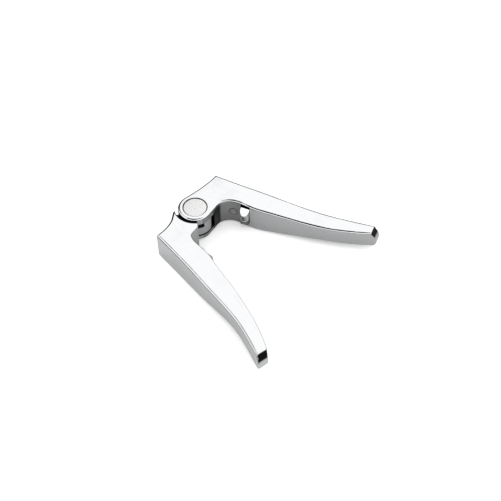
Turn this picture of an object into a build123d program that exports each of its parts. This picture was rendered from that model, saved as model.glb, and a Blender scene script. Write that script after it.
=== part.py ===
from build123d import *
from math import cos, radians, sin
import os

# Cork pliers for sparkling wine: two cast levers hinged on one upright pin.
# Millimetres. The origin is on the hinge axis at the plane the tool rests on, +Z is up and +X
# runs along the line midway between the two handles. The fork lever lies on the +Y side.

# Driving dimensions -------------------------------------------------------------------------
opening_angle = 29.6      # between the two levers as they lie
head_thickness = 26.0      # height of the head, floor to top face
handle_taper = 5.0         # how much nearer the middle each face is along the handle
reach = 148.0              # hinge axis to the end of the handle
taper_start = 9 / 37       # where along its reach the handle starts to thin
taper_end = 28 / 37        # and where it is level again
head_depth = 40.4          # hinge axis to the outer edge of the fork lever's head
tongue_head_depth = 42.4   # and of the tongue lever's
handle_tip_width = 8.5     # width of the handle just before its rounded end
tip_offset = 45.5          # hinge axis line to the outer edge at the handle's end
fork_set = 0.0             # how far each handle is set in, three quarters of the way along
tongue_set = 2.8
fork_corner = 0.0          # the outer corner's place along the fork lever
tongue_corner = 6.0        # and along the tongue lever

boss_radius = 14.4         # ears of the fork, around the pin
knuckle_inset = 0.4        # the tongue lever's knuckle lies this far inside the ears
ear_thickness = 6.5        # upper ear
lower_ear_thickness = 4.8
slot_gap = 1.9             # knuckle to the fork's slot
notch_depth = 2.2          # relief in the top of the knuckle beside its shoulder
notch_height = 4.4
notch_turn = 25.0          # degrees
recess_gap = 3.0           # ear to the scooped recess of the tongue lever

pocket_radius = 18.5       # hollow that takes the head of the cork
pocket_middle = 30.0       # its centre, along the lever from the hinge axis
pocket_margin = 1.2        # the fork's boss to the hollow's wall beside it
tongue_shoulder = 27.6     # degrees from the tongue lever's own axis to its shoulder
tongue_horn = 118.0        # degrees to the horn behind the hinge

pin_radius = 6.0
pin_head_overhang = 2.4
pin_head_height = 1.4
cap_overhang = 1.5         # a cap's edge beyond the pin's head
cap_thickness = 1.5
cap_sink = 0.5             # the upper cap lies this far below the ear's face
cap_chamfer = 0.3
ring_width = 2.2           # retaining ring on the lower end of the pin, from the pin outwards
ring_thickness = 1.0
ring_gap = 5.0             # opening of the retaining ring
groove_depth = 0.7
bush_wall = 1.6
washer_inset = 2.4         # the ears' edge to the washers' edge
washer_thickness = 0.6
disc_spring_height = 0.6
disc_spring_inset = 0.5    # the washers' edge to the disc spring's rim
disc_spring_slack = 0.3    # its hole is this much larger than the pin, on the radius
disc_spring_thickness = 0.35

tooth_width = 8.0
tooth_top_gap = 4.0        # the lever's top face down to the tooth's top
tooth_root = 4.0           # how deep the tooth is let into its lever
tooth_reach = 4.7          # how far its nose stands out of the lever
fork_tooth_place = 37.5    # along each lever from the hinge axis
tongue_tooth_place = 45.5
tooth_headroom = 2.9       # free height of the mortise above the tooth
tooth_bottom = 5.2         # floor to the underside of the tooth
tooth_slope = 5.0          # fall of the tooth's slanted top from its root to its nose
tooth_heel = 1.6           # chamfer under the nose
tooth_edge_round = 0.45
screw_radius = 1.5
screw_head_radius = 2.4
screw_head_height = 1.6
screw_sink = 0.5           # the screw's head lies this far inside the nose
screw_length = 9.0
screw_place = 8.6          # height of the screw above the tooth's underside
socket_radius = 1.25       # corner radius of the screw's hexagon socket
socket_depth = 1.1
stud_radius = 3.5
stud_length = 7.0
stud_stand = 0.3           # how far a stud stands out of the hollow's wall
stud_angle = 101.0          # direction of a stud from the hollow's centre, in degrees

# Clearances
running_clearance = 0.04   # pin in the bush, on the radius
axial_play = 0.06          # knuckle between its washers, on each side
seat_clearance = 0.02      # pieces set into one lever
cap_gap = 0.15             # fine groove left around each cap
tooth_gap = 0.22           # each side of a tooth in its mortise

# Edge rounding
outer_edge_round = 1.8     # along the outer, hand side of the levers and the ends of the heads
inner_edge_round = 0.8     # every other edge of the castings
seat_edge_round = 0.5      # around the upper cap's seat
tip_slope = 5.4            # how far back along the handle its end starts to slope down
tip_heel = 3.0             # and how far its rounded underside runs back

half_angle = opening_angle / 2
knuckle_radius = boss_radius - knuckle_inset
pocket_wall = boss_radius + pocket_margin
pin_head_radius = pin_radius + pin_head_overhang
ring_radius = pin_radius + ring_width
cap_radius = pin_head_radius + cap_overhang
washer_radius = boss_radius - washer_inset
tooth_height = head_thickness - tooth_bottom - tooth_top_gap
taper_from = taper_start * reach
taper_to = taper_end * reach
handle_top = head_thickness - handle_taper
handle_bottom = handle_taper
handle_height = handle_top - handle_bottom
slot_radius = knuckle_radius + slot_gap
recess_radius = boss_radius + recess_gap
ear_top_face = head_thickness - ear_thickness
knuckle_top = ear_top_face - washer_thickness - axial_play
knuckle_bottom = lower_ear_thickness + washer_thickness + disc_spring_height + axial_play
bush_radius = pin_radius + running_clearance + bush_wall
overall = 2 * reach        # longer than any cut needs to be
fork_hollow = pocket_radius + 0.6    # depth of each hollow from its lever's own axis
tongue_hollow = pocket_radius + 2.3


def polar(radius, degrees):
    """Point at a distance and an angle from the hinge axis."""
    return (radius * cos(radians(degrees)), radius * sin(radians(degrees)))


def handle_direction(side):
    """Unit vector along a lever: side +1 is the fork lever, -1 the tongue lever."""
    return Vector(cos(radians(half_angle)), side * sin(radians(half_angle)), 0)


# Each lever has its own plane. Its x runs out along the handle and its y away from the other
# lever, so one outline serves both: the tongue lever's plane is the fork's, turned over.
up = Vector(0, 0, 1)
fork_plane = Plane(origin=(0, 0, 0), x_dir=handle_direction(1), z_dir=up)
tongue_plane = Plane(origin=(0, 0, 0), x_dir=handle_direction(-1), z_dir=-up)


def level(plane, height):
    """The lever's plane, lifted to a height above the floor."""
    return Plane(origin=(0, 0, height), x_dir=plane.x_dir, z_dir=plane.z_dir)


def rise(plane, amount):
    """An extrusion length that goes upwards from a lever's plane."""
    return amount * plane.z_dir.Z


def standing(plane, point, facing, height=0.0):
    """An upright plane through a lever's point, looking along a direction of the lever."""
    foot = plane.from_local_coords(Vector(*point, 0))
    look = plane.from_local_coords(Vector(*facing, 0))
    return Plane(origin=(foot.X, foot.Y, height), x_dir=up.cross(look), z_dir=look)


def is_outer_edge(plane, edge):
    """A long level edge on a lever's hand side, or from the hinge to the head's outer corner."""
    middle = plane.to_local_coords(edge.center())
    is_level = abs(edge.tangent_at(0.5).Z) < 0.6
    on_hand_side = middle.Y > head_depth - 3.2 and 12 < middle.X < reach - 5
    on_head_end = middle.Y > 0.4 * head_depth and middle.X < 6 and edge.length > 10
    return is_level and (on_hand_side or on_head_end)


def creases(part):
    """The edges where two faces still meet at an angle."""
    sharp = []
    for edge in part.edges():
        sides = [face for face in part.faces() if any(edge.is_same(other) for other in face.edges())]
        if len(sides) == 2:
            middle = edge.position_at(0.5)
            if sides[0].normal_at(middle).get_angle(sides[1].normal_at(middle)) > 8:
                sharp.append(edge)
    return sharp


# Outlines of the levers, seen from above, in a lever's own x and y ---------------------------
def lever_outline(corner, inset, head_end, hollow_depth, hollow_end, hub_radius, hub_middle):
    """Closed outline: up the head's end, out along the handle, back along the hollow."""
    tip_outer = (reach + 4.0, tip_offset + 0.6)
    tip_inner = (reach + 4.0, tip_offset - handle_tip_width + 1.6)
    with BuildLine() as outline:
        Line(head_end[0], head_end[1])
        Spline(*head_end[1:], corner, tangents=((0.5, 1.0), (0.16, 1.0)))
        Spline(
            corner,
            (0.26 * reach, corner[1] - 1.7),
            (0.50 * reach, corner[1] - 1.5 - 0.6 * inset),
            (0.74 * reach, head_depth + 0.8 - inset),
            (0.93 * reach, tip_offset - 1.2 - 0.4 * inset),
            tip_outer,
        )
        Line(tip_outer, tip_inner)
        Spline(
            tip_inner,
            (0.92 * reach, tip_offset - handle_tip_width - 4.2 - 0.5 * inset),
            (0.74 * reach, hollow_depth + 6.6 - inset),
            (0.53 * reach, hollow_depth + 2.0 - 0.6 * inset),
            (pocket_middle + 29.0, hollow_depth - 0.4),
            (pocket_middle + 15.5, hollow_depth - 1.4),
            (pocket_middle + 8.0, hollow_depth - 0.8),
            (pocket_middle - 0.5, hollow_depth),
            (pocket_middle - 7.0, hollow_depth - 1.4),
            *hollow_end[:-1],
        )
        Line(hollow_end[-2], hollow_end[-1])
        ThreePointArc(hollow_end[-1], polar(hub_radius, hub_middle), head_end[0])
    return outline.line


fork_outline = lever_outline(
    corner=(fork_corner, head_depth),
    inset=fork_set,
    head_end=[
        polar(boss_radius, 151),
        polar(boss_radius + 2.6, 121.5),
        (-5.2, 0.57 * head_depth),
        (-2.3, 0.77 * head_depth),
    ],
    hollow_depth=fork_hollow,
    hollow_end=[
        (pocket_wall + 2.2, 0.74 * pocket_radius),
        (pocket_wall + 0.2, 0.46 * pocket_radius),
        polar(boss_radius, -8),
    ],
    hub_radius=boss_radius,
    hub_middle=-108,
)
tongue_outline = lever_outline(
    corner=(tongue_corner, tongue_head_depth),
    inset=tongue_set,
    head_end=[
        polar(knuckle_radius, tongue_horn),
        polar(recess_radius, tongue_horn),
        (-0.6, 0.59 * head_depth),
        (3.2, 0.76 * head_depth),
    ],
    hollow_depth=tongue_hollow,
    hollow_end=[
        (pocket_wall + 4.2, 0.70 * pocket_radius),
        polar(recess_radius + 3.1, tongue_shoulder),
        polar(knuckle_radius, tongue_shoulder),
    ],
    hub_radius=knuckle_radius,
    hub_middle=-107,
)

# Side view of a lever, in its own x and the height z: level head, thinner handle, sloping end
with BuildLine() as side_outline:
    Line((-overall, 0), (taper_from, 0))
    Spline((taper_from, 0), (taper_to, handle_bottom), tangents=((1, 0), (1, 0)))
    Line((taper_to, handle_bottom), (reach - tip_heel, handle_bottom))
    Spline(
        (reach - tip_heel, handle_bottom),
        (reach, handle_bottom + 0.34 * handle_height),
        (reach - 0.31 * tip_slope, handle_bottom + 0.66 * handle_height),
        (reach - tip_slope, handle_top),
        tangents=((0.8, 0.6), (-0.56, 0.83)),
    )
    Line((reach - tip_slope, handle_top), (taper_to, handle_top))
    Spline(
        (taper_to, handle_top), (taper_from, head_thickness), tangents=((-1, 0), (-1, 0))
    )
    Line((taper_from, head_thickness), (-overall, head_thickness))
    Line((-overall, head_thickness), (-overall, 0))


def lever_blank(plane, outline):
    """A cast lever before its hinge and seats are cut: the outline, shaped from the side."""
    side = Plane(origin=(0, 0, 0), x_dir=plane.x_dir, z_dir=plane.x_dir.cross(up))
    with BuildPart() as blank:
        with BuildSketch(plane):
            add(outline)
            make_face()
        extrude(amount=rise(plane, head_thickness))
        with BuildSketch(side):
            add(side_outline.line)
            make_face()
        extrude(amount=overall, both=True, mode=Mode.INTERSECT)
        fillet([edge for edge in blank.edges() if is_outer_edge(plane, edge)], outer_edge_round)
        fillet(creases(blank.part), inner_edge_round)
    return blank.part


# Teeth, their screws and the studs --------------------------------------------------------
def tooth_profile(place, wall, gap=0.0, slack=0.0):
    """Plan of a jaw tooth: a square root let into the lever and a half-round nose."""
    half = tooth_width / 2
    shoulder = wall - tooth_reach + half
    back = wall + tooth_root + slack
    left, right = place - half - gap, place + half + gap
    with BuildLine() as profile:
        Polyline((left, shoulder), (left, back), (right, back), (right, shoulder))
        ThreePointArc((right, shoulder), (place, wall - tooth_reach - gap), (left, shoulder))
    return profile.line


def jaw_tooth(plane, place, wall, name):
    """A hardened tooth: slanted on top, chamfered below, with a sunk hole for its screw."""
    nose = wall - tooth_reach
    top = tooth_bottom + tooth_height
    across = Plane(
        origin=plane.from_local_coords(Vector(place, 0, 0)),
        x_dir=plane.y_dir,
        z_dir=plane.y_dir.cross(up),
    )
    front = standing(plane, (place, nose), (0, -1), tooth_bottom + screw_place)
    with BuildPart() as tooth:
        with BuildSketch(level(plane, tooth_bottom)):
            add(tooth_profile(place, wall))
            make_face()
        extrude(amount=rise(plane, tooth_height))
        with BuildSketch(across):
            Polygon((nose, top - tooth_slope), (wall, top), (nose, top), align=None)
            Polygon(
                (nose, tooth_bottom),
                (nose + tooth_heel, tooth_bottom),
                (nose, tooth_bottom + tooth_heel),
                align=None,
            )
        extrude(amount=reach, both=True, mode=Mode.SUBTRACT)
        slanted = tooth.faces().filter_by(lambda face: 0.3 < face.normal_at().Z < 0.95)
        fillet(slanted.edges().filter_by(GeomType.ELLIPSE), tooth_edge_round)
        with BuildSketch(front):
            Circle(screw_head_radius + cap_gap)
        extrude(amount=-screw_sink - screw_head_height, mode=Mode.SUBTRACT)
        with BuildSketch(front):
            Circle(screw_radius + seat_clearance)
        extrude(amount=-tooth_reach - 2 * tooth_root, mode=Mode.SUBTRACT)
    tooth.part.label = name
    return tooth.part


def tooth_screw(plane, place, wall, name):
    """Cheese-head screw with a hexagon socket, driven in from the hollow."""
    seat = standing(plane, (place, wall - tooth_reach + screw_sink), (0, -1), tooth_bottom + screw_place)
    with BuildPart() as screw:
        with BuildSketch(seat):
            Circle(screw_head_radius)
        extrude(amount=-screw_head_height)
        chamfer(screw.edges().filter_by(GeomType.CIRCLE), 0.2)
        with BuildSketch(seat):
            Circle(screw_radius)
        extrude(amount=-screw_head_height - screw_length)
        with BuildSketch(seat):
            RegularPolygon(socket_radius, 6)
        extrude(amount=-socket_depth, mode=Mode.SUBTRACT)
    screw.part.label = name
    return screw.part


def stud_seat(plane, hollow_depth):
    """The plane of a stud's face, turned to the middle of the hollow at half height."""
    inward = (-cos(radians(stud_angle)), -sin(radians(stud_angle)))
    distance = hollow_depth - stud_stand
    face = (pocket_middle - distance * inward[0], -distance * inward[1])
    return standing(plane, face, inward, head_thickness / 2)


def grip_stud(plane, hollow_depth, name):
    """A plain round stud pressed into the wall of the hollow."""
    seat = stud_seat(plane, hollow_depth)
    with BuildPart() as stud:
        with BuildSketch(seat):
            Circle(stud_radius)
        extrude(amount=-stud_length)
        chamfer(stud.edges().filter_by(GeomType.CIRCLE), 0.25)
    stud.part.label = name
    return stud.part


def seats(plane, place, wall, hollow_depth):
    """What is cut from a lever for its tooth, its screw and its stud."""
    screw_axis = standing(plane, (place, wall), (0, 1), tooth_bottom + screw_place)
    screw_end = screw_length + screw_head_height + screw_sink - tooth_reach
    with BuildPart() as cutter:
        with BuildSketch(level(plane, tooth_bottom)):
            add(tooth_profile(place, wall, tooth_gap, seat_clearance))
            make_face()
        extrude(amount=rise(plane, tooth_height + tooth_headroom))
        with BuildSketch(screw_axis):
            Circle(screw_radius + seat_clearance)
        extrude(amount=screw_end + seat_clearance)
        with BuildSketch(stud_seat(plane, hollow_depth)):
            Circle(stud_radius + seat_clearance)
        extrude(amount=-stud_length - seat_clearance)
    return cutter.part


fork_wall = fork_hollow - 0.9       # inner face of each lever where its tooth stands
tongue_wall = tongue_hollow - 1.2
fork_blank = lever_blank(fork_plane, fork_outline)
tongue_blank = lever_blank(tongue_plane, tongue_outline)
fork_seats = seats(fork_plane, fork_tooth_place, fork_wall, fork_hollow)
tongue_seats = seats(tongue_plane, tongue_tooth_place, tongue_wall, tongue_hollow)

# Heights in the hinge, from the floor up
ring_bottom = cap_thickness + 0.5
ring_top = ring_bottom + ring_thickness
cap_top = head_thickness - cap_sink
pin_top = cap_top - cap_thickness
pin_head_bottom = pin_top - pin_head_height
pin_bottom = cap_thickness + 0.1
upper_washer_bottom = ear_top_face - washer_thickness
lower_washer_top = lower_ear_thickness + washer_thickness
disc_rim = washer_radius - disc_spring_inset
disc_hole = pin_radius + disc_spring_slack

# Levers -----------------------------------------------------------------------------------
with BuildPart() as fork_lever:
    add(fork_blank)
    # slot between the two ears for the knuckle
    with BuildSketch(Plane.XY.offset(lower_ear_thickness)):
        Circle(slot_radius)
    extrude(amount=ear_top_face - lower_ear_thickness, mode=Mode.SUBTRACT)
    # bore for the pin, with its seats in the upper and the lower ear
    with BuildSketch():
        Circle(pin_radius + seat_clearance)
    extrude(amount=head_thickness, mode=Mode.SUBTRACT)
    with BuildSketch(Plane.XY.offset(pin_top)):
        Circle(cap_radius + cap_gap)
    extrude(amount=ear_thickness, mode=Mode.SUBTRACT)
    cap_rim = fork_lever.edges().filter_by(GeomType.CIRCLE).group_by(Axis.Z)[-1]
    fillet([edge for edge in cap_rim if abs(edge.radius - cap_radius - cap_gap) < 0.01], seat_edge_round)
    with BuildSketch(Plane.XY.offset(pin_head_bottom)):
        Circle(pin_head_radius + seat_clearance)
    extrude(amount=ear_thickness, mode=Mode.SUBTRACT)
    with BuildSketch():
        Circle(cap_radius + cap_gap)
    extrude(amount=cap_thickness, mode=Mode.SUBTRACT)
    with BuildSketch():
        Circle(ring_radius + cap_gap)
    extrude(amount=ring_top, mode=Mode.SUBTRACT)
    add(fork_seats, mode=Mode.SUBTRACT)

with BuildPart() as tongue_lever:
    add(tongue_blank)
    # the upper and lower ears of the fork turn in two scooped recesses
    with BuildSketch(Plane.XY.offset(knuckle_top)):
        Circle(recess_radius)
    extrude(amount=head_thickness, mode=Mode.SUBTRACT)
    with BuildSketch():
        Circle(recess_radius)
    extrude(amount=knuckle_bottom, mode=Mode.SUBTRACT)
    # relief in the knuckle's top beside its shoulder
    with BuildSketch(level(tongue_plane, knuckle_top)):
        Circle(slot_radius)
        Circle(knuckle_radius - notch_depth, mode=Mode.SUBTRACT)
        Polygon(
            (0, 0),
            polar(recess_radius, tongue_shoulder),
            polar(recess_radius, tongue_shoulder - notch_turn),
            align=None,
            mode=Mode.INTERSECT,
        )
    extrude(amount=-rise(tongue_plane, notch_height), mode=Mode.SUBTRACT)
    # bore for the bush
    with BuildSketch():
        Circle(bush_radius + seat_clearance)
    extrude(amount=head_thickness, mode=Mode.SUBTRACT)
    add(tongue_seats, mode=Mode.SUBTRACT)

# Hinge ------------------------------------------------------------------------------------
with BuildPart() as hinge_pin:
    with BuildSketch(Plane.XY.offset(pin_bottom)):
        Circle(pin_radius)
    extrude(amount=pin_top - pin_bottom)
    with BuildSketch(Plane.XY.offset(pin_head_bottom)):
        Circle(pin_head_radius)
    extrude(amount=pin_head_height)
    # groove for the retaining ring
    with BuildSketch(Plane.XY.offset(ring_bottom)):
        Circle(pin_radius + 1)
        Circle(pin_radius - groove_depth, mode=Mode.SUBTRACT)
    extrude(amount=ring_thickness, mode=Mode.SUBTRACT)

with BuildPart() as pin_top_cap:
    with BuildSketch(Plane.XY.offset(pin_top)):
        Circle(cap_radius)
    extrude(amount=cap_thickness)
    chamfer(pin_top_cap.edges().group_by(Axis.Z)[-1], cap_chamfer)

with BuildPart() as pin_bottom_cap:
    with BuildSketch():
        Circle(cap_radius)
    extrude(amount=cap_thickness)
    chamfer(pin_bottom_cap.edges().group_by(Axis.Z)[0], cap_chamfer)

with BuildPart() as pin_retaining_ring:
    with BuildSketch(Plane.XY.offset(ring_bottom)):
        Circle(ring_radius)
        Circle(pin_radius - groove_depth + seat_clearance, mode=Mode.SUBTRACT)
        with Locations((0, -ring_radius)):
            Rectangle(ring_gap, 2 * ring_radius, mode=Mode.SUBTRACT)
    extrude(amount=ring_thickness)

with BuildPart() as knuckle_bush:
    with BuildSketch(Plane.XY.offset(knuckle_bottom)):
        Circle(bush_radius)
        Circle(pin_radius + running_clearance, mode=Mode.SUBTRACT)
    extrude(amount=knuckle_top - knuckle_bottom)

with BuildPart() as upper_thrust_washer:
    with BuildSketch(Plane.XY.offset(upper_washer_bottom)):
        Circle(washer_radius)
        Circle(pin_radius + seat_clearance, mode=Mode.SUBTRACT)
    extrude(amount=washer_thickness)

with BuildPart() as lower_thrust_washer:
    with BuildSketch(Plane.XY.offset(lower_ear_thickness)):
        Circle(washer_radius)
        Circle(pin_radius + seat_clearance, mode=Mode.SUBTRACT)
    extrude(amount=washer_thickness)

# Dished spring washer that keeps a light drag on the hinge: its rim lies on the lower washer
with BuildPart() as hinge_disc_spring:
    with BuildSketch(Plane.XZ):
        Polygon(
            (disc_rim, lower_washer_top),
            (disc_rim, lower_washer_top + disc_spring_thickness),
            (disc_hole, lower_washer_top + disc_spring_height),
            (disc_hole, lower_washer_top + disc_spring_height - disc_spring_thickness),
            align=None,
        )
    revolve(axis=Axis.Z)

named_pieces = {
    "fork_lever": fork_lever,
    "tongue_lever": tongue_lever,
    "hinge_pin": hinge_pin,
    "pin_top_cap": pin_top_cap,
    "pin_bottom_cap": pin_bottom_cap,
    "pin_retaining_ring": pin_retaining_ring,
    "knuckle_bush": knuckle_bush,
    "upper_thrust_washer": upper_thrust_washer,
    "lower_thrust_washer": lower_thrust_washer,
    "hinge_disc_spring": hinge_disc_spring,
}
for name, piece in named_pieces.items():
    piece.part.label = name
pieces = [piece.part for piece in named_pieces.values()] + [
    jaw_tooth(fork_plane, fork_tooth_place, fork_wall, "fork_jaw_tooth"),
    jaw_tooth(tongue_plane, tongue_tooth_place, tongue_wall, "tongue_jaw_tooth"),
    tooth_screw(fork_plane, fork_tooth_place, fork_wall, "fork_tooth_screw"),
    tooth_screw(tongue_plane, tongue_tooth_place, tongue_wall, "tongue_tooth_screw"),
    grip_stud(fork_plane, fork_hollow, "fork_grip_stud"),
    grip_stud(tongue_plane, tongue_hollow, "tongue_grip_stud"),
]

os.makedirs("parts", exist_ok=True)
for piece in pieces:
    export_step(piece, f"parts/{piece.label}.step")
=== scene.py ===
import bpy, math
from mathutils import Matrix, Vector


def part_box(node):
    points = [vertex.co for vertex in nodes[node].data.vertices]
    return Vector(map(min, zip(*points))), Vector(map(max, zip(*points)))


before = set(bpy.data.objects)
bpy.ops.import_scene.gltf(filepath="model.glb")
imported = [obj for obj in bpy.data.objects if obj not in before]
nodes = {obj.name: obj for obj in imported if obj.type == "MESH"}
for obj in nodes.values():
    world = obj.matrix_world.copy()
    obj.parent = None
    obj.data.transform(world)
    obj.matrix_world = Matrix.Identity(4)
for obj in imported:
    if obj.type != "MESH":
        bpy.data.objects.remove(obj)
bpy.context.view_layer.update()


# ---- Levers --------------------------------------------------------------
# The two levers are cast in zinc alloy, ground, buffed along their length on a
# soft wheel and plated with bright chrome. They mirror the studio and show the
# faintest buffing lines and a little haze where fingers have been. Their hollows,
# gaps and seams are painted dark as shade and dark reflection.

def wire(tree, source, target):
    tree.links.new(source, target)


def give(tree, socket, value):
    """Links a value that is a socket, and sets any other."""
    if isinstance(value, bpy.types.NodeSocket):
        wire(tree, value, socket)
    else:
        socket.default_value = value


def put(tree, kind, **given):
    """A node of that kind, with sockets set or linked and properties set."""
    made = tree.nodes.new(kind)
    for name, value in given.items():
        socket = name.replace("_", " ")
        if socket in made.inputs:
            give(tree, made.inputs[socket], value)
        else:
            setattr(made, name, value)
    return made


def maths(tree, operation, a, b=0.0, c=0.0, clamp=False):
    """One sum on up to three values."""
    made = tree.nodes.new("ShaderNodeMath")
    made.operation = operation
    made.use_clamp = clamp
    for socket, value in zip(made.inputs, (a, b, c)):
        give(tree, socket, value)
    return made.outputs[0]


def vectors(tree, operation, a, b):
    """A vector node, with its two inputs given."""
    made = put(tree, "ShaderNodeVectorMath", operation=operation)
    give(tree, made.inputs[0], a)
    give(tree, made.inputs[1], b)
    return made


def ranged(tree, value, low, high, out_low, out_high):
    """The value taken smoothly from one range to another."""
    made = tree.nodes.new("ShaderNodeMapRange")
    made.interpolation_type = "SMOOTHSTEP"
    for socket, given in zip(made.inputs, (value, low, high, out_low, out_high)):
        give(tree, socket, given)
    return made.outputs["Result"]


def mixed(tree, factor, a, b):
    """Two colours mixed: a where the factor is 0, b where it is 1."""
    made = tree.nodes.new("ShaderNodeMix")
    made.data_type = "RGBA"
    for place, given in ((0, factor), (6, a), (7, b)):
        give(tree, made.inputs[place], given)
    return made.outputs[2]


def new_group(name, inputs, outputs):
    """A shared effect: its inputs with their usual values, and what it puts out."""
    group = bpy.data.node_groups.new(name, "ShaderNodeTree")
    for label, value in inputs.items():
        kind = "NodeSocketVector" if isinstance(value, tuple) else "NodeSocketFloat"
        socket = group.interface.new_socket(label, in_out="INPUT", socket_type=kind)
        socket.default_value = value
    for label in outputs:
        group.interface.new_socket(label, in_out="OUTPUT", socket_type="NodeSocketFloat")
    return group, group.nodes.new("NodeGroupInput"), group.nodes.new("NodeGroupOutput")


def placed(tree, group, **values):
    """The shared effect put in a material, with that material's own values."""
    made = tree.nodes.new("ShaderNodeGroup")
    made.node_tree = group
    for name, value in values.items():
        give(tree, made.inputs[name], value)
    return made


def new_finish(name, metallic):
    """A material with its own Principled shader, all metal or all plastic."""
    finish = bpy.data.materials.new(name)
    finish.use_nodes = True
    tree = finish.node_tree
    shader = tree.nodes["Principled BSDF"]
    shader.inputs["Metallic"].default_value = metallic
    return finish, tree, shader


def relief(tree, shader, height, strength, depth):
    """Fine relief on a surface, that deep in metres."""
    bump = put(tree, "ShaderNodeBump", Height=height, Strength=strength, Distance=depth)
    wire(tree, bump.outputs[0], shader.inputs["Normal"])


def dress(node, finish):
    """Gives a carried-over CAD piece its finish in every slot."""
    mesh = nodes[node].data
    if not mesh.materials:
        mesh.materials.append(finish)
    for place in range(len(mesh.materials)):
        mesh.materials[place] = finish


upright = (1.0, 1.0, 0.0)        # measures straight out from an upright axis
all_round = (1.0, 1.0, 1.0)      # measures in every direction from a point

# Buffing lines: long soft streaks along one direction, as a mask and a height.
streak_detail, streak_roughness = 4.0, 0.6
streak_low, streak_high = 0.35, 0.7
buffing, enter, leave = new_group(
    "buffing_lines", {"Turn": 0.0, "Along": 30.0, "Across": 900.0}, ("Mask", "Height"))
spot = put(buffing, "ShaderNodeTexCoord").outputs["Object"]
spun = put(buffing, "ShaderNodeVectorRotate", Vector=spot, Angle=enter.outputs["Turn"],
           rotation_type="Z_AXIS").outputs[0]
stretch = put(buffing, "ShaderNodeCombineXYZ", X=enter.outputs["Along"],
              Y=enter.outputs["Across"], Z=enter.outputs["Across"]).outputs[0]
stretched = vectors(buffing, "MULTIPLY", spun, stretch)
streak = put(buffing, "ShaderNodeTexNoise", Vector=stretched.outputs[0], Scale=1.0,
             Detail=streak_detail, Roughness=streak_roughness).outputs["Fac"]
wire(buffing, ranged(buffing, streak, streak_low, streak_high, 0.0, 1.0),
     leave.inputs["Mask"])
wire(buffing, streak, leave.inputs["Height"])

# Handling haze: the faint cloudy film that fingers leave on a mirror finish.
cloud_detail, cloud_roughness, cloud_swirl = 5.0, 0.55, 0.4
cloud_low, cloud_high = 0.48, 0.74
haze, enter, leave = new_group("handling_haze", {"Size": 60.0, "Amount": 1.0}, ("Mask",))
spot = put(haze, "ShaderNodeTexCoord").outputs["Object"]
cloud = put(haze, "ShaderNodeTexNoise", Vector=spot, Scale=enter.outputs["Size"],
            Detail=cloud_detail, Roughness=cloud_roughness,
            Distortion=cloud_swirl).outputs["Fac"]
film = ranged(haze, cloud, cloud_low, cloud_high, 0.0, 1.0)
wire(haze, maths(haze, "MULTIPLY", film, enter.outputs["Amount"]), leave.inputs["Mask"])

# Unbuffed hollows with painted shade: a place the buffing wheel can't reach, as a
# soft-edged mask. It lies between two distances from a centre and between two heights.
# Where it is used, it paints the colour dark as shade and makes the surface rougher.
nowhere_low, nowhere_high = -1.0, 1.0
hollows, enter, leave = new_group(
    "unbuffed_hollows_painted_shade",
    {"Centre": (0.0, 0.0, 0.0), "Keep": upright, "Inner": 0.0137, "Outer": 0.0175,
     "Low": nowhere_low, "High": nowhere_high, "Soft": 0.0003, "Amount": 1.0}, ("Mask",))
spot = put(hollows, "ShaderNodeTexCoord").outputs["Object"]
height = put(hollows, "ShaderNodeSeparateXYZ", Vector=spot).outputs["Z"]
away = vectors(hollows, "SUBTRACT", spot, enter.outputs["Centre"])
level = vectors(hollows, "MULTIPLY", away.outputs[0], enter.outputs["Keep"])
reach = put(hollows, "ShaderNodeVectorMath", operation="LENGTH")
wire(hollows, level.outputs[0], reach.inputs[0])
distance = reach.outputs["Value"]
inner, outer, low, high, soft_edge = (
    enter.outputs[label] for label in ("Inner", "Outer", "Low", "High", "Soft"))
ring_in = ranged(hollows, distance, maths(hollows, "SUBTRACT", inner, soft_edge), inner,
                 0.0, 1.0)
ring_out = ranged(hollows, distance, outer, maths(hollows, "ADD", outer, soft_edge),
                  1.0, 0.0)
floor_in = ranged(hollows, height, low, maths(hollows, "ADD", low, soft_edge), 0.0, 1.0)
roof_out = ranged(hollows, height, high, maths(hollows, "ADD", high, soft_edge), 1.0, 0.0)
inside = maths(hollows, "MULTIPLY", maths(hollows, "MULTIPLY", ring_in, ring_out),
               maths(hollows, "MULTIPLY", floor_in, roof_out))
wire(hollows, maths(hollows, "MULTIPLY", inside, enter.outputs["Amount"]),
     leave.inputs["Mask"])

# Painted shade: the dark colour put in hollows, gaps, seams, sockets and under the tooth
# noses.
painted_shade_dark = (0.030, 0.030, 0.031, 1.0)
chrome_bright = (0.600, 0.606, 0.612, 1.0)
chrome_deep = (0.560, 0.566, 0.575, 1.0)
chrome_streaks = dict(Along=28.0, Across=1400.0)
chrome_film_size = 45.0
streak_tone, film_tone = 0.35, 0.5
mirror_rough, streak_rough, film_rough, hollow_rough = 0.045, 0.02, 0.05, 0.35


def darkest(tree, places):
    """One mask for all the places of a piece where shade is painted dark."""
    mask = 0.0
    for place in places:
        mask = maths(tree, "MAXIMUM", mask,
                     placed(tree, hollows, **place).outputs["Mask"])
    return mask


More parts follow.
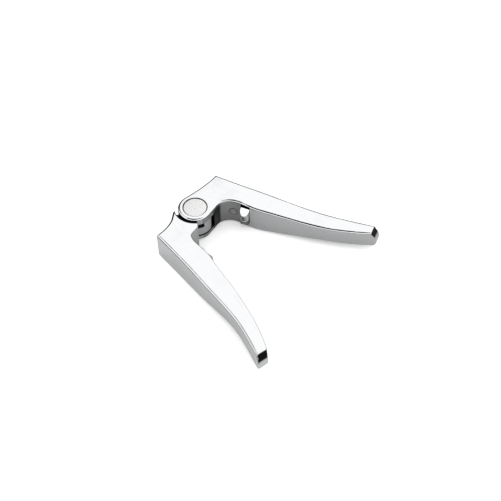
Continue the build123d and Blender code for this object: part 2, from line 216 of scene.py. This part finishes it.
def chrome(name, turn, *unbuffed_and_shaded):
    """Bright plate buffed along a lever, dull where the wheel can't reach and painted dark
    there as shade.
    """
    finish, tree, shader = new_finish(name, 1.0)
    lines = placed(tree, buffing, Turn=turn, **chrome_streaks)
    film = placed(tree, haze, Size=chrome_film_size, Amount=1.0)
    tint = maths(tree, "MULTIPLY_ADD", lines.outputs["Mask"], streak_tone,
                 maths(tree, "MULTIPLY", film.outputs["Mask"], film_tone), clamp=True)
    hollow = darkest(tree, unbuffed_and_shaded)
    buffed = mixed(tree, tint, chrome_bright, chrome_deep)
    wire(tree, mixed(tree, hollow, buffed, painted_shade_dark), shader.inputs["Base Color"])
    rough = maths(tree, "MULTIPLY_ADD", lines.outputs["Mask"], streak_rough, mirror_rough)
    rough = maths(tree, "MULTIPLY_ADD", film.outputs["Mask"], film_rough, rough)
    rough = maths(tree, "MULTIPLY_ADD", hollow, hollow_rough, rough)
    wire(tree, rough, shader.inputs["Roughness"])
    relief(tree, shader, lines.outputs["Height"], strength=0.02, depth=0.0001)
    return finish


half_opening = math.radians(29.6 / 2)


def from_lever(side, along, out, height=0.0):
    """A point given along a lever and out from its axis; side is 1 for the fork, -1 tongue."""
    return (along * math.cos(half_opening) - out * math.sin(half_opening),
            side * (along * math.sin(half_opening) + out * math.cos(half_opening)), height)


fork_tooth_place, tongue_tooth_place = 0.0375, 0.0455
cork_middle = 0.030
stud_height = 0.013
fork_stud_face = from_lever(1, 0.02641, 0.01845, stud_height)
tongue_stud_face = from_lever(-1, 0.02609, 0.02012, stud_height)
stud_seam = dict(Keep=all_round, Inner=0.0034, Outer=0.0038, Soft=0.00012, Amount=0.9)
mortise = dict(Inner=nowhere_low, Outer=0.0046, Low=0.0049, High=0.0251)

# The fork lever's painted shade: the slot between the ears, the groove round the cap, the
# pocket wall, the corner by the boss, the tooth's mortise and the stud's seam.
slot_between_ears = dict(Inner=0.0146, Outer=0.0164, Low=0.0045, High=0.0200)
groove_round_cap = dict(Inner=0.0098, Outer=0.01035, Low=0.0235)
hollow_wall = dict(Centre=from_lever(1, cork_middle, 0.0), Inner=0.0150, Outer=0.0206,
                   High=0.0248, Soft=0.0008, Amount=0.42)
corner_by_boss = dict(Centre=from_lever(1, 0.0160, 0.0080), Inner=nowhere_low,
                      Outer=0.0038, High=0.0220, Soft=0.0030, Amount=0.97)
dress("fork_lever", chrome(
    "chrome_fork", -half_opening, slot_between_ears, groove_round_cap, hollow_wall,
    corner_by_boss, dict(Centre=from_lever(1, fork_tooth_place, 0.0205), **mortise),
    dict(Centre=fork_stud_face, **stud_seam)))

# The tongue lever's painted shade: the recess for the ears, the notch in the knuckle, the
# tooth's mortise and the stud's seam.
recess_for_ears = dict(Inner=0.0143, Outer=0.0179, Low=0.0050, High=0.0270)
notch_in_knuckle = dict(Inner=0.0110, Outer=0.0136, Low=0.0142, High=0.0200)
dress("tongue_lever", chrome(
    "chrome_tongue", half_opening, recess_for_ears, notch_in_knuckle,
    dict(Centre=from_lever(-1, tongue_tooth_place, 0.0219), **mortise),
    dict(Centre=tongue_stud_face, **stud_seam)))


# ---- Pin caps ------------------------------------------------------------
# A thin stainless disc closes each end of the hinge pin. It was faced on a
# lathe, so fine rings run round its centre and its sheen is satin, not mirror.

satin_light = (0.875, 0.87, 0.865, 1.0)
satin_dark = (0.82, 0.815, 0.81, 1.0)
satin_pitch = 0.00015
satin_film_size, satin_film_amount = 160.0, 0.3
satin_ring_tone, satin_rough, satin_ring_rough = 0.3, 0.24, 0.06

ring_detail, ring_roughness = 3.0, 0.7
ring_low, ring_high = 0.3, 0.7
turned, enter, leave = new_group(
    "turned_rings", {"Centre": (0.0, 0.0, 0.0), "Keep": upright, "Pitch": 0.00012},
    ("Mask", "Height"))
spot = put(turned, "ShaderNodeTexCoord").outputs["Object"]
away = vectors(turned, "SUBTRACT", spot, enter.outputs["Centre"])
flat = vectors(turned, "MULTIPLY", away.outputs[0], enter.outputs["Keep"])
out = put(turned, "ShaderNodeVectorMath", operation="LENGTH")
wire(turned, flat.outputs[0], out.inputs[0])
ring_place = maths(turned, "DIVIDE", out.outputs["Value"], enter.outputs["Pitch"])
ring_noise = put(turned, "ShaderNodeTexNoise", noise_dimensions="1D", W=ring_place,
                 Scale=1.0, Detail=ring_detail, Roughness=ring_roughness).outputs["Fac"]
wire(turned, ranged(turned, ring_noise, ring_low, ring_high, 0.0, 1.0),
     leave.inputs["Mask"])
wire(turned, ring_noise, leave.inputs["Height"])

pin_centre = tuple(sum(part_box("pin_top_cap"), Vector()) / 2)
finish, tree, shader = new_finish("satin_cap", 1.0)
rings = placed(tree, turned, Centre=pin_centre, Pitch=satin_pitch)
film = placed(tree, haze, Size=satin_film_size, Amount=satin_film_amount)
tint = maths(tree, "MULTIPLY_ADD", rings.outputs["Mask"], satin_ring_tone,
             film.outputs["Mask"], clamp=True)
wire(tree, mixed(tree, tint, satin_light, satin_dark), shader.inputs["Base Color"])
wire(tree, maths(tree, "MULTIPLY_ADD", rings.outputs["Mask"], satin_ring_rough, satin_rough),
     shader.inputs["Roughness"])
relief(tree, shader, rings.outputs["Height"], strength=0.04, depth=0.00002)
dress("pin_top_cap", finish)
dress("pin_bottom_cap", finish)


# ---- Hinge pin and its clip ----------------------------------------------
# The pin is turned from steel bar and ground, and a blued spring clip snaps
# into its groove under the lower ear. The ground pin keeps its fine rings.

ring_wear, shaded_rough = 0.07, 0.3


def turned_steel(name, centre, keep, light, dark, pitch, rough, shaded_places=()):
    """Turned metal with fine rings, with shade painted dark in some places, which are also
    rougher.
    """
    finish, tree, shader = new_finish(name, 1.0)
    rings = placed(tree, turned, Centre=centre, Keep=keep, Pitch=pitch)
    tone = mixed(tree, rings.outputs["Mask"], light, dark)
    # Painted shade: the given places are mixed toward the dark shade colour.
    painted_shade = darkest(tree, shaded_places)
    wire(tree, mixed(tree, painted_shade, tone, painted_shade_dark), shader.inputs["Base Color"])
    wear = maths(tree, "MULTIPLY_ADD", rings.outputs["Mask"], ring_wear, rough)
    wire(tree, maths(tree, "MULTIPLY_ADD", painted_shade, shaded_rough, wear),
         shader.inputs["Roughness"])
    relief(tree, shader, rings.outputs["Height"], strength=0.06, depth=0.00003)
    return finish


along_the_pin = (0.0, 0.0, 1.0)
pin_light, pin_dark = (0.56, 0.56, 0.57, 1.0), (0.40, 0.40, 0.41, 1.0)
dress("hinge_pin", turned_steel(
    "ground_pin", centre=pin_centre, keep=along_the_pin, light=pin_light, dark=pin_dark,
    pitch=0.00020, rough=0.16))

blue_light, blue_dark = (0.26, 0.29, 0.36, 1.0), (0.10, 0.11, 0.15, 1.0)
blued_grain = dict(Turn=0.0, Along=500.0, Across=900.0)
grain_tone, blued_rough, blued_film_rough = 0.4, 0.26, 0.15


def blued(name, cloud_size):
    """Spring steel, blued by heat: cloudy blue-black with a thin film of oil."""
    finish, tree, shader = new_finish(name, 1.0)
    film = placed(tree, haze, Size=cloud_size, Amount=1.0)
    grain = placed(tree, buffing, **blued_grain)
    tone = maths(tree, "MULTIPLY_ADD", grain.outputs["Mask"], grain_tone,
                 film.outputs["Mask"], clamp=True)
    wire(tree, mixed(tree, tone, blue_dark, blue_light), shader.inputs["Base Color"])
    wire(tree, maths(tree, "MULTIPLY_ADD", film.outputs["Mask"], blued_film_rough,
                     blued_rough), shader.inputs["Roughness"])
    relief(tree, shader, grain.outputs["Height"], strength=0.08, depth=0.00003)
    return finish


dress("pin_retaining_ring", blued("blued_clip", cloud_size=260.0))
dress("hinge_disc_spring", blued("blued_spring", cloud_size=180.0))


# ---- Bush ----------------------------------------------------------------
# The bush pressed into the knuckle is sintered bronze, soaked with oil. Its
# pores show as dark specks in the warm, slightly brushed metal.

bronze_light, bronze_dark = (0.66, 0.45, 0.24, 1.0), (0.42, 0.27, 0.13, 1.0)
pore_dark = (0.10, 0.06, 0.03, 1.0)
pore_scale, pore_core, pore_rim = 2600.0, 0.10, 0.22
bronze_film_size, bronze_rough, pore_rough = 300.0, 0.32, 0.35
finish, tree, shader = new_finish("sintered_bronze", 1.0)
film = placed(tree, haze, Size=bronze_film_size, Amount=1.0)
spot = put(tree, "ShaderNodeTexCoord").outputs["Object"]
cells = put(tree, "ShaderNodeTexVoronoi", Vector=spot, Scale=pore_scale).outputs["Distance"]
pore = ranged(tree, cells, pore_core, pore_rim, 1.0, 0.0)
warm = mixed(tree, film.outputs["Mask"], bronze_light, bronze_dark)
wire(tree, mixed(tree, pore, warm, pore_dark), shader.inputs["Base Color"])
wire(tree, maths(tree, "MULTIPLY_ADD", pore, pore_rough, bronze_rough),
     shader.inputs["Roughness"])
relief(tree, shader, cells, strength=0.25, depth=0.00005)
dress("knuckle_bush", finish)


# ---- Thrust washers ------------------------------------------------------
# Two thin washers of black acetal keep the ears off the knuckle. They are
# moulded, with a fine matt grain, and a little polished where they rub.

plastic_black, plastic_rubbed = (0.018, 0.018, 0.019, 1.0), (0.045, 0.045, 0.047, 1.0)
rubbed_size, moulded_rough, rubbed_smoother = 140.0, 0.46, -0.14
moulded_grain, grain_detail = 3500.0, 2.0
finish, tree, shader = new_finish("black_acetal", 0.0)
film = placed(tree, haze, Size=rubbed_size, Amount=1.0)
spot = put(tree, "ShaderNodeTexCoord").outputs["Object"]
grain = put(tree, "ShaderNodeTexNoise", Vector=spot, Scale=moulded_grain,
            Detail=grain_detail).outputs["Fac"]
wire(tree, mixed(tree, film.outputs["Mask"], plastic_black, plastic_rubbed),
     shader.inputs["Base Color"])
wire(tree, maths(tree, "MULTIPLY_ADD", film.outputs["Mask"], rubbed_smoother,
                 moulded_rough), shader.inputs["Roughness"])
relief(tree, shader, grain, strength=0.2, depth=0.00004)
dress("upper_thrust_washer", finish)
dress("lower_thrust_washer", finish)


# ---- Jaw teeth -----------------------------------------------------------
# Each jaw has a hardened steel tooth in a mortise, ground across its slanted
# top and plated. Shade is painted dark round its screw and under its nose.

tooth_bright, tooth_deep = (0.80, 0.80, 0.805, 1.0), (0.68, 0.68, 0.69, 1.0)
tooth_grain = dict(Along=90.0, Across=2600.0)
# Painted shade round the screw and under the nose.
screw_seam = dict(Keep=all_round, Inner=0.0022, Outer=0.0027, Soft=0.00012, Amount=0.95)
under_nose = dict(Inner=nowhere_low, Outer=nowhere_high, High=0.0098, Soft=0.0012,
                  Amount=0.75)
tooth_rough, tooth_line_rough = 0.09, 0.05


def ground_tooth(name, turn, screw_face):
    """Plated steel with the grinding wheel's lines across it, and shade painted dark round its
    screw and under its nose.
    """
    finish, tree, shader = new_finish(name, 1.0)
    lines = placed(tree, buffing, Turn=turn, **tooth_grain)
    painted_shade = darkest(tree, (dict(Centre=screw_face, **screw_seam), under_nose))
    steel = mixed(tree, lines.outputs["Mask"], tooth_bright, tooth_deep)
    wire(tree, mixed(tree, painted_shade, steel, painted_shade_dark), shader.inputs["Base Color"])
    worn = maths(tree, "MULTIPLY_ADD", lines.outputs["Mask"], tooth_line_rough, tooth_rough)
    wire(tree, maths(tree, "MULTIPLY_ADD", painted_shade, shaded_rough, worn),
         shader.inputs["Roughness"])
    relief(tree, shader, lines.outputs["Height"], strength=0.05, depth=0.00005)
    return finish


screw_height = 0.0138
fork_screw_face = from_lever(1, fork_tooth_place, 0.0140, screw_height)
tongue_screw_face = from_lever(-1, tongue_tooth_place, 0.0154, screw_height)
across_grain = math.radians(90)
dress("fork_jaw_tooth", ground_tooth(
    "ground_tooth_fork", across_grain - half_opening, fork_screw_face))
dress("tongue_jaw_tooth", ground_tooth(
    "ground_tooth_tongue", across_grain + half_opening, tongue_screw_face))


# ---- Tooth screws --------------------------------------------------------
# A small plated screw with a hexagon socket holds each tooth. Its head is
# turned, and the socket never catches the light, so its shade is painted dark.

screw_light, screw_dark = (0.62, 0.62, 0.63, 1.0), (0.46, 0.46, 0.47, 1.0)
for node, face in (("fork_tooth_screw", fork_screw_face),
                   ("tongue_tooth_screw", tongue_screw_face)):
    socket = dict(Centre=face, Keep=all_round, Inner=nowhere_low, Outer=0.00128, Soft=0.0001)
    dress(node, turned_steel(
        node + "_finish", centre=face, keep=all_round, light=screw_light, dark=screw_dark,
        pitch=0.00016, rough=0.14, shaded_places=(socket,)))


# ---- Grip studs ----------------------------------------------------------
# A plain plated stud is pressed into the wall of each hollow, where the cork
# is held. Its face is turned and the shade in its seam is painted dark.

stud_light, stud_dark = (0.42, 0.42, 0.43, 1.0), (0.34, 0.34, 0.35, 1.0)
for node, face in (("fork_grip_stud", fork_stud_face),
                   ("tongue_grip_stud", tongue_stud_face)):
    seam = dict(Centre=face, Keep=all_round, Inner=0.00325, Outer=0.0040, Soft=0.00012,
                Amount=0.9)
    dress(node, turned_steel(
        node + "_finish", centre=face, keep=all_round, light=stud_light, dark=stud_dark,
        pitch=0.00025, rough=0.10, shaded_places=(seam,)))


# ---- Studio --------------------------------------------------------------
# A white sheet to stand on, soft lights overhead and the dark room round
# about. The room draws the black lines along the plated edges.

sheet_size, sheet_middle = 0.9, (0.07, 0.0, 0.0)
bpy.ops.mesh.primitive_plane_add(size=sheet_size, location=sheet_middle)
sheet = bpy.context.object
sheet.name = "floor"
paper = bpy.data.materials.new("white_sheet")
paper.use_nodes = True
tree = paper.node_tree
tree.nodes.clear()
fibre_scale, fibre_detail, sheet_glow = 900.0, 3.0, 0.13
fibre = put(tree, "ShaderNodeTexNoise", Scale=fibre_scale, Detail=fibre_detail).outputs["Fac"]
lit = put(tree, "ShaderNodeBsdfDiffuse",
          Color=mixed(tree, fibre, (0.97, 0.97, 0.97, 1.0), (0.99, 0.99, 0.99, 1.0)))
lifted = tree.nodes.new("ShaderNodeAddShader")
wire(tree, lit.outputs[0], lifted.inputs[0])
wire(tree, put(tree, "ShaderNodeEmission", Strength=sheet_glow).outputs[0],
     lifted.inputs[1])

# What the plated sides mirror of the sheet: a pool of light painted into its colour near the
# tool, painted darker on the +y side and dark further out.
pool_middle, pool_edge, pool_end = (0.075, 0.0, 0.0), 0.115, 0.175
pool_far_side, pool_near_side = (0.52, 0.52, 0.52, 1.0), (0.64, 0.64, 0.64, 1.0)
pool_outside = (0.02, 0.02, 0.02, 1.0)
pool_near_edge, pool_far_edge = -0.050, -0.005
spot = put(tree, "ShaderNodeNewGeometry").outputs["Position"]
away = vectors(tree, "SUBTRACT", spot, pool_middle)
far = put(tree, "ShaderNodeVectorMath", operation="LENGTH")
wire(tree, away.outputs[0], far.inputs[0])
pool = ranged(tree, far.outputs["Value"], pool_edge, pool_end, 0.0, 1.0)
sideways = put(tree, "ShaderNodeSeparateXYZ", Vector=spot).outputs["Y"]
near_side = ranged(tree, sideways, pool_near_edge, pool_far_edge, 1.0, 0.0)
lit_pool = mixed(tree, near_side, pool_far_side, pool_near_side)
dull = put(tree, "ShaderNodeBsdfDiffuse", Color=mixed(tree, pool, lit_pool, pool_outside))
either = tree.nodes.new("ShaderNodeMixShader")
wire(tree, put(tree, "ShaderNodeLightPath").outputs["Is Camera Ray"], either.inputs[0])
wire(tree, dull.outputs[0], either.inputs[1])
wire(tree, lifted.outputs[0], either.inputs[2])
wire(tree, either.outputs[0], put(tree, "ShaderNodeOutputMaterial").inputs["Surface"])
sheet.data.materials.append(paper)

world = bpy.data.worlds.new("studio")
bpy.context.scene.world = world
world.use_nodes = True
tree = world.node_tree
tree.nodes.clear()
way = put(tree, "ShaderNodeTexCoord").outputs["Generated"]
apart = put(tree, "ShaderNodeSeparateXYZ", Vector=way)
horizon = 0.001
rise = maths(tree, "MAXIMUM", apart.outputs["Z"], horizon)
across = maths(tree, "DIVIDE", apart.outputs["X"], rise)
deep = maths(tree, "DIVIDE", apart.outputs["Y"], rise)
panel_edge = 0.04


def panel(left, right, near, far):
    """A soft light on the ceiling between those slopes, as a soft-edged mask."""
    whole = 1.0
    for slope, edge, begin, end in ((across, left, 0.0, 1.0), (across, right, 1.0, 0.0),
                                    (deep, near, 0.0, 1.0), (deep, far, 1.0, 0.0)):
        whole = maths(tree, "MULTIPLY", whole, ranged(
            tree, slope, edge - panel_edge, edge + panel_edge, begin, end))
    return whole


back_light = panel(left=-0.665, right=3.0, near=0.27, far=2.2)
side_light = panel(left=-7.0, right=-0.34, near=-7.0, far=-0.06)
front_light = panel(left=-0.40, right=7.0, near=-7.0, far=-0.85)
right_light = panel(left=0.42, right=7.0, near=-0.85, far=0.30)
boxes = maths(tree, "ADD", back_light, maths(tree, "ADD", side_light, maths(
    tree, "ADD", front_light, right_light)), clamp=True)

wall_top, ceiling_start, box_strength, room_glow = 0.17, 0.22, 1.60, 0.012
dome_low, dome_high, dome_strength, pale_strength = 0.10, 0.50, 1.45, 1.1
white = (1.0, 1.0, 1.0, 1.0)
above = ranged(tree, apart.outputs["Z"], wall_top, ceiling_start, 0.0, 1.0)
glow = maths(tree, "MULTIPLY_ADD", maths(tree, "MULTIPLY", boxes, above), box_strength,
             room_glow)
shine = put(tree, "ShaderNodeBackground", Color=white, Strength=glow)
dome = put(tree, "ShaderNodeBackground", Color=white, Strength=ranged(
    tree, apart.outputs["Z"], dome_low, dome_high, 0.0, dome_strength))
pale = put(tree, "ShaderNodeBackground", Color=white, Strength=pale_strength)
path = put(tree, "ShaderNodeLightPath")
lights = tree.nodes.new("ShaderNodeMixShader")
wire(tree, path.outputs["Is Diffuse Ray"], lights.inputs[0])
wire(tree, shine.outputs[0], lights.inputs[1])
wire(tree, dome.outputs[0], lights.inputs[2])
either = tree.nodes.new("ShaderNodeMixShader")
wire(tree, path.outputs["Is Camera Ray"], either.inputs[0])
wire(tree, lights.outputs[0], either.inputs[1])
wire(tree, pale.outputs[0], either.inputs[2])
wire(tree, either.outputs[0], put(tree, "ShaderNodeOutputWorld").inputs["Surface"])

scene = bpy.context.scene
scene.view_settings.view_transform = "Standard"
scene.view_settings.look = "None"

azimuth, elevation, distance = math.radians(38.36), math.radians(51.49), 0.7049
aim = Vector((0.06497, -0.00762, 0.026))
back = Vector((math.sin(azimuth) * math.cos(elevation),
               -math.cos(azimuth) * math.cos(elevation), math.sin(elevation)))
eye = bpy.data.cameras.new("camera")
eye.sensor_width = 36.0
eye.lens = 63.31
eye.clip_start = 0.01
camera = bpy.data.objects.new("camera", eye)
camera.location = aim + back * distance
camera.rotation_euler = (-back).to_track_quat("-Z", "Y").to_euler()
scene.collection.objects.link(camera)
scene.camera = camera
